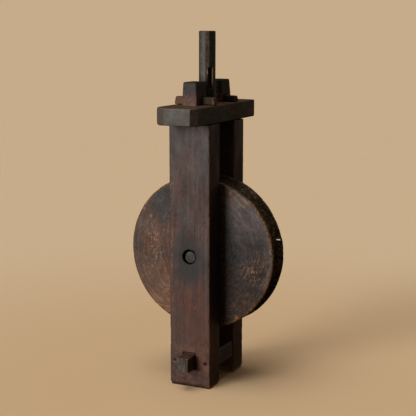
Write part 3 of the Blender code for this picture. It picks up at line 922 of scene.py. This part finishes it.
def make_frame_pieces():
    cheek_look = cheek_material()
    for node, seed in (("front_cheek", 1), ("rear_cheek", 4)):
        worn_timber(node, cheek_look, voxel=1.2 * MM, seed=seed)
    beam = worn_timber("head_beam", beam_material(), voxel=0.8 * MM, seed=7,
                       shape=round_beam_corners)
    mark_beam_cuts(beam.data)
    # the last number is how much painted shade each key's right half takes
    key_looks = (key_material("front_key_wood_look", FRONT_KEY_BROWN, 0.82),
                 key_material("rear_key_wood_look", REAR_KEY_SHADED_BROWN, 0.97))
    for node, look, seed in zip(("front_key", "rear_key"), key_looks, (11, 14)):
        worn_timber(node, look, voxel=0.6 * MM, seed=seed, rounds=2, shape=batter_key)
    spreader = worn_timber("foot_spreader", spreader_material(), voxel=0.7 * MM, seed=17,
                           shape=notch_pegs)
    mark_peg_tops(spreader.data)
    rusty = nail_material("rusty_nail_look", RUSTY)
    black = nail_material("black_nail_look", BLACKENED)
    for number, node in enumerate(sorted(n for n in BOX if n.startswith("nail_"))):
        worn_timber(node, rusty if node.endswith("left") else black, voxel=0.4 * MM,
                    seed=20 + number, rounds=2, hollow=0.1)


# ---- the rod
ROD_NET = 0.8 * MM
ROD_ARRISES = (-64, -27, 11, 36.5, 76, 115.5, 160, 205, 250)    # degrees from -Y towards +X
SLOT_LEAN = 1.2 * MM            # how far the slot's right wall leans across it, deep inside
CHIP_MIDDLE = SLOT_TOP - 6.4 * MM


def shave(points):
    """Cut the rod's round shaft back to uneven flats between its arrises."""
    x, y, z = points.T
    radius = np.hypot(x, y)
    azimuth = np.arctan2(x, -y)
    reach = np.full(len(points), 1.0)
    for first, last in zip(ROD_ARRISES, (*ROD_ARRISES[1:], ROD_ARRISES[0] + 360)):
        centre, half = math.radians((first + last) / 2), math.radians((last - first) / 2)
        turn = np.cos(azimuth - centre)
        flat = np.where(turn > 0.5, math.cos(half) / np.maximum(turn, 0.5), 2.0)
        reach = np.minimum(reach, flat)
    on_shaft = z > BEAM_LOW.z
    outer = smoothstep(0.5 * ROD_RADIUS, 0.9 * ROD_RADIUS, radius)
    factor = np.where(on_shaft, 1 + (np.minimum(reach, 1.0) - 1) * outer, 1.0)
    points[:, 0] *= factor
    points[:, 1] *= factor


def make_rod():
    """A hand-shaved rod: nine uneven flats, a slot with a chip beside it, and a round head."""
    mesh = dense_copy("swivel_rod", ROD_NET)
    edges = edges_of(mesh)
    points = points_of(mesh)
    shave(points)
    points = soften(points, edges, 0.6, 1)
    set_points(mesh, points)
    out = normals_of(mesh)
    set_mark(mesh, "edge", convexity(points, edges, out, ROD_NET))

    # where each point lies by the slot: across it, outward along it, and in its height
    x, y, z = points.T
    across = x * math.cos(SLOT_AZIMUTH) + y * math.sin(SLOT_AZIMUTH)
    outward = x * math.sin(SLOT_AZIMUTH) - y * math.cos(SLOT_AZIMUTH)
    in_height = (z > SLOT_BOTTOM - MM) & (z < SLOT_TOP + MM)
    radius = np.hypot(x, y)
    wall = smoothstep(0.6 * MM, 0.0, np.abs(np.abs(across) - SLOT_HALF))
    set_mark(mesh, "slot", wall * (radius < 0.97 * ROD_RADIUS) * in_height)
    # how deep in the slot each point lies, for its painted shade
    deep = smoothstep(0.82 * ROD_RADIUS, 0.66 * ROD_RADIUS, radius)
    set_mark(mesh, "deep", deep * in_height)
    chip = (np.exp(-((across + SLOT_HALF + 1.0 * MM) / (1.0 * MM)) ** 2)
            * np.exp(-((z - CHIP_MIDDLE) / (2.6 * MM)) ** 2)
            * (outward > 0.5 * ROD_RADIUS))
    set_mark(mesh, "chip", chip)

    depth = ROD_RADIUS - radius * np.sign(outward)
    lean = (in_height * smoothstep(0.0, 7.0 * MM, depth)
            * np.clip((across + SLOT_HALF) / (2 * SLOT_HALF), 0.0, 1.0)
            * (np.abs(across) < SLOT_HALF + 0.6 * MM))
    points[:, 0] -= SLOT_LEAN * lean * math.cos(SLOT_AZIMUTH)
    points[:, 1] -= SLOT_LEAN * lean * math.sin(SLOT_AZIMUTH)
    grooves = wander(points, (0.004, 0.004, 0.060), 31, 3)
    sink = 0.30 * MM * (0.5 + 0.5 * grooves) + 1.0 * MM * chip
    set_points(mesh, points - out * sink[:, None])
    add_object("swivel_rod_worn", mesh, rod_material(), "rod", "swivel_rod")


# ---- the wheel
SHEAVE_NET = 1.2 * MM
LIP_WEAR = (2.2 * MM, 1.8 * MM)     # how far the flanges' lips are worn, along the radius and Y
LIP_GAIN = 0.7 * MM                 # what rubbing the net down takes off the rim, put back
LIP_MARK_RANGE = (-10.0, 20.0)      # millimetres
OVAL = 1.9 * MM                     # how much flatter the wheel is at the top and bottom
RAGGED = 0.4 * MM
SPLIT_LOSS = 0.8 * MM               # the rear rim stands back beyond the crack
FLAT_LOSS = 3.0 * MM                # the front flange is worn flat high on its right
RIGHT_LOSS = 1.3 * MM               # and a little all down its right side
CRACK_CENTRE = Vector((107.6, 11.8, 214.6)) * MM
CRACK_SIZE = Vector((5.8, 16.0, 1.6)) * MM
CRACK_TAPER = 0.55                  # its height at the inner end, as a part of the outer end's
CRACK_TURN = math.atan2(CRACK_CENTRE.z - AXLE.z, CRACK_CENTRE.x)
CRACK_LEAN = (-0.42, -0.20)         # how the crack drifts in X and Z per metre along Y
FLAKE_FROM = (-71.0 * MM, 108.6 * MM)   # the flake's upper edge, in X and Z
FLAKE_TO = (-50.6 * MM, 106.6 * MM)
FLAKE_DEPTH = 1.8 * MM


def make_pin():
    worn_timber("axle_pin", pin_material(), voxel=0.8 * MM, seed=41, rounds=4, hollow=0.15,
                body="wheel")


def open_crack(mesh):
    """Cut a crack through the rear flange's rim, on the right and a little over the axle."""
    cutter_data = bmesh.new()
    bmesh.ops.create_cube(cutter_data, size=1.0)
    for corner in cutter_data.verts:
        place = Vector(a * b for a, b in zip(corner.co, CRACK_SIZE))
        place.z *= CRACK_TAPER if corner.co.x < 0 else 1.0
        place.x += CRACK_LEAN[0] * place.y
        place.z += CRACK_LEAN[1] * place.y
        corner.co = CRACK_CENTRE + place
    cutter = put("crack", mesh_of("crack", cutter_data))
    result = applied(mesh, "BOOLEAN", operation="DIFFERENCE", solver="EXACT", object=cutter)
    bpy.data.objects.remove(cutter)
    return result


def wear_rim(points):
    """Wear the flanges' lips and rim; returns how far each point is past the lip, in mm:
    more than 0 on a flange's face, less across the rim."""
    x, y, z = points[:, 0] - AXLE.x, points[:, 1], points[:, 2] - AXLE.z
    radius = np.hypot(x, z)
    turn = np.arctan2(z, x)
    rim = smoothstep(SHEAVE_RADIUS - 5.5 * MM, SHEAVE_RADIUS - 0.5 * MM, radius)
    half_width = (SHEAVE_HIGH.y - SHEAVE_LOW.y) / 2
    inward = half_width - np.abs(y - SHEAVE_MIDDLE)
    lip = np.clip((SHEAVE_RADIUS - radius - inward) / MM, *LIP_MARK_RANGE)
    # the lip is worn round, more in some places than in others
    worn = 0.5 + 0.5 * smoothstep(-0.3, 0.5, wander(points, (0.030, 0.020, 0.030), 56, 2))
    over_x = (radius - (SHEAVE_RADIUS - LIP_WEAR[0] * worn)) / (LIP_WEAR[0] * worn)
    over_y = (LIP_WEAR[1] * worn - inward) / (LIP_WEAR[1] * worn)
    reach = np.hypot(np.maximum(over_x, 0.0), np.maximum(over_y, 0.0))
    on_lip = (over_x > 0) & (over_y > 0) & (reach > 1)
    rounded = np.where(on_lip, 1 - 1 / np.maximum(reach, 1.0), 0.0)

    oval = OVAL * np.sin(turn) ** 2
    ragged = wander(points, (0.009, 0.006, 0.009), 52, 3)
    flat = smoothstep(math.radians(38), math.radians(64), turn)
    flat = flat * smoothstep(math.radians(112), math.radians(90), turn) * (y < SHEAVE_MIDDLE)
    right = smoothstep(0.0, 0.8, np.cos(turn)) * (y < SHEAVE_MIDDLE)
    split = ((y > SHEAVE_MIDDLE) * smoothstep(CRACK_TURN, CRACK_TURN + 0.02, turn)
             * smoothstep(CRACK_TURN + 0.9, CRACK_TURN + 0.3, turn))
    loss = oval + rim * (RAGGED * smoothstep(0.0, 0.7, ragged) + SPLIT_LOSS * split
                         + FLAT_LOSS * flat + RIGHT_LOSS * right)
    loss += rounded * over_x * LIP_WEAR[0] * worn
    grown = np.minimum(radius - loss + LIP_GAIN * rim, SHEAVE_RADIUS)
    factor = np.where(radius > 20 * MM, grown / np.maximum(radius, MM), 1.0)
    points[:, 0] = AXLE.x + x * factor
    points[:, 2] = AXLE.z + z * factor
    points[:, 1] -= np.sign(y - SHEAVE_MIDDLE) * rounded * over_y * LIP_WEAR[1] * worn
    return lip


def break_flake(points):
    """Take a flake off the front flange, low on its left; returns where the bare wood is."""
    slope = (FLAKE_TO[1] - FLAKE_FROM[1]) / (FLAKE_TO[0] - FLAKE_FROM[0])
    ripple = 1.2 * MM * wander(points, 0.006, 54, 2)
    below = FLAKE_FROM[1] + slope * (points[:, 0] - FLAKE_FROM[0]) - points[:, 2] + ripple
    beside = (smoothstep(FLAKE_FROM[0] - 5 * MM, FLAKE_FROM[0] - 2 * MM, points[:, 0])
              * smoothstep(FLAKE_TO[0] + 16 * MM, FLAKE_TO[0] + 12 * MM, points[:, 0]))
    on_front = smoothstep(SHEAVE_LOW.y + 3 * MM, SHEAVE_LOW.y + 1 * MM, points[:, 1]) * beside
    points[:, 1] += FLAKE_DEPTH * smoothstep(0.0, 1.4 * MM, below) * on_front
    return (on_front * smoothstep(-0.3 * MM, 0.6 * MM, below)
            * smoothstep(3.4 * MM, 1.6 * MM, below))


def make_sheave():
    mesh = open_crack(dense_copy("sheave", SHEAVE_NET))
    edges = edges_of(mesh)
    points = points_of(mesh)
    lumps = wander(points, 0.012, 51)
    points = soften(points, edges, 0.3 + 0.7 * smoothstep(-0.25, 0.45, lumps), 2)
    set_points(mesh, points)
    out = normals_of(mesh)
    set_mark(mesh, "edge", convexity(points, edges, out, SHEAVE_NET))
    set_mark(mesh, "lip", wear_rim(points))
    set_mark(mesh, "chip", break_flake(points))
    swell = wander(points, 0.030, 53, 2)
    rough = wander(points, 0.007, 55, 3)
    sink = 0.25 * MM * (0.5 + 0.5 * swell) + 0.14 * MM * (0.5 + 0.5 * rough)
    set_points(mesh, points - out * sink[:, None])
    add_object("sheave_worn", mesh, sheave_material(), "wheel", "sheave")


# ---- stage
CAMERA_AZIMUTH = math.radians(25.5)
CAMERA_ELEVATION = math.radians(9.84)
CAMERA_DISTANCE = 3.04 * BLOCK_HEIGHT
CAMERA_AIM = Vector((1.0 * MM, 0.5 * MM, 0.4988 * BLOCK_HEIGHT))
SENSOR = 36.0
LENS = 2.55 * SENSOR
FLOOR_RADIUS = 3.0
FLOOR_BLEND = (0.2, 1.0)        # the distances over which the floor goes from near to far
FLOOR_NEAR = (0.80, 0.58, 0.36)
FLOOR_FAR = (0.88, 0.69, 0.47)
BACKDROP = (0.566, 0.4115, 0.254)
AMBIENT = (0.075, 0.052, 0.032)
SUNS = {                        # azimuth, elevation, strength, spread, colour
    "key": (-23.0, 9.0, 3.1, 30.0, (1.0, 0.97, 0.93)),
    "overhead": (-35.0, 78.0, 1.3, 40.0, (1.0, 0.95, 0.88)),
    "side_fill": (140.0, 8.0, 0.10, 50.0, (1.0, 0.90, 0.75)),
    "back_fill": (-165.0, 4.0, 1.5, 12.0, (0.98, 0.97, 1.0)),
}


def direction(azimuth, elevation):
    """From the object towards a place seen at an azimuth (from -Y to +X) and height."""
    return Vector((math.sin(azimuth) * math.cos(elevation),
                   -math.cos(azimuth) * math.cos(elevation), math.sin(elevation)))


def look_along(thing, way):
    """Turn a camera or a light to face along a direction."""
    thing.rotation_mode = "QUATERNION"
    thing.rotation_quaternion = way.to_track_quat("-Z", "Y")


def make_camera():
    back = direction(CAMERA_AZIMUTH, CAMERA_ELEVATION)
    data = bpy.data.cameras.new("camera")
    data.sensor_width = SENSOR
    data.lens = LENS
    camera = put("camera", data)
    camera.location = CAMERA_AIM + back * CAMERA_DISTANCE
    look_along(camera, -back)
    bpy.context.scene.camera = camera


def make_sun(name, azimuth, elevation, strength, spread, colour):
    """A distant light, with its angles in degrees."""
    data = bpy.data.lights.new(name, "SUN")
    data.energy = strength
    data.angle = math.radians(spread)
    data.color = colour
    light = put(name, data)
    look_along(light, -direction(math.radians(azimuth), math.radians(elevation)))
    return light


def make_floor():
    """A plain pale floor, which throws no light back on the object."""
    mesh_data = bmesh.new()
    bmesh.ops.create_circle(mesh_data, cap_ends=True, segments=96, radius=FLOOR_RADIUS)
    floor = put("floor", mesh_of("floor", mesh_data))
    g = Graph("pale_floor")
    colour = g.mix(g.fade(g.length(g.place), *FLOOR_BLEND), FLOOR_NEAR, FLOOR_FAR)
    floor.data.materials.append(g.finish(colour, 0.9, 0.0))
    floor.visible_diffuse = False
    floor.visible_glossy = False
    return floor


def make_world():
    """A plain backdrop for the camera, and a dimmer even light for the object."""
    world = bpy.data.worlds.new("studio")
    bpy.context.scene.world = world
    world.use_nodes = True
    tree = world.node_tree
    seen = tree.nodes.new("ShaderNodeLightPath").outputs["Is Camera Ray"]
    colour = tree.nodes.new("ShaderNodeMix")
    colour.data_type = "RGBA"
    tree.links.new(seen, colour.inputs[MIX_AMOUNT])
    colour.inputs[MIX_FIRST].default_value = (*AMBIENT, 1.0)
    colour.inputs[MIX_SECOND].default_value = (*BACKDROP, 1.0)
    tree.links.new(colour.outputs[MIX_RESULT], tree.nodes["Background"].inputs["Color"])


def make_stage():
    floor = make_floor()
    make_world()
    lights = {name: make_sun(name, *setting) for name, setting in SUNS.items()}
    # the light from behind grazes the object only: no gloss from it, and none of it on the floor
    back = lights["back_fill"]
    back.visible_glossy = False
    not_floor = bpy.data.collections.new("back_fill_receivers")
    not_floor.objects.link(floor)
    back.light_linking.receiver_collection = not_floor
    not_floor.collection_objects[0].light_linking.link_state = "EXCLUDE"
    bpy.context.scene.view_settings.view_transform = "Standard"


make_camera()
make_stage()
make_frame_pieces()
make_rod()
make_pin()
make_sheave()
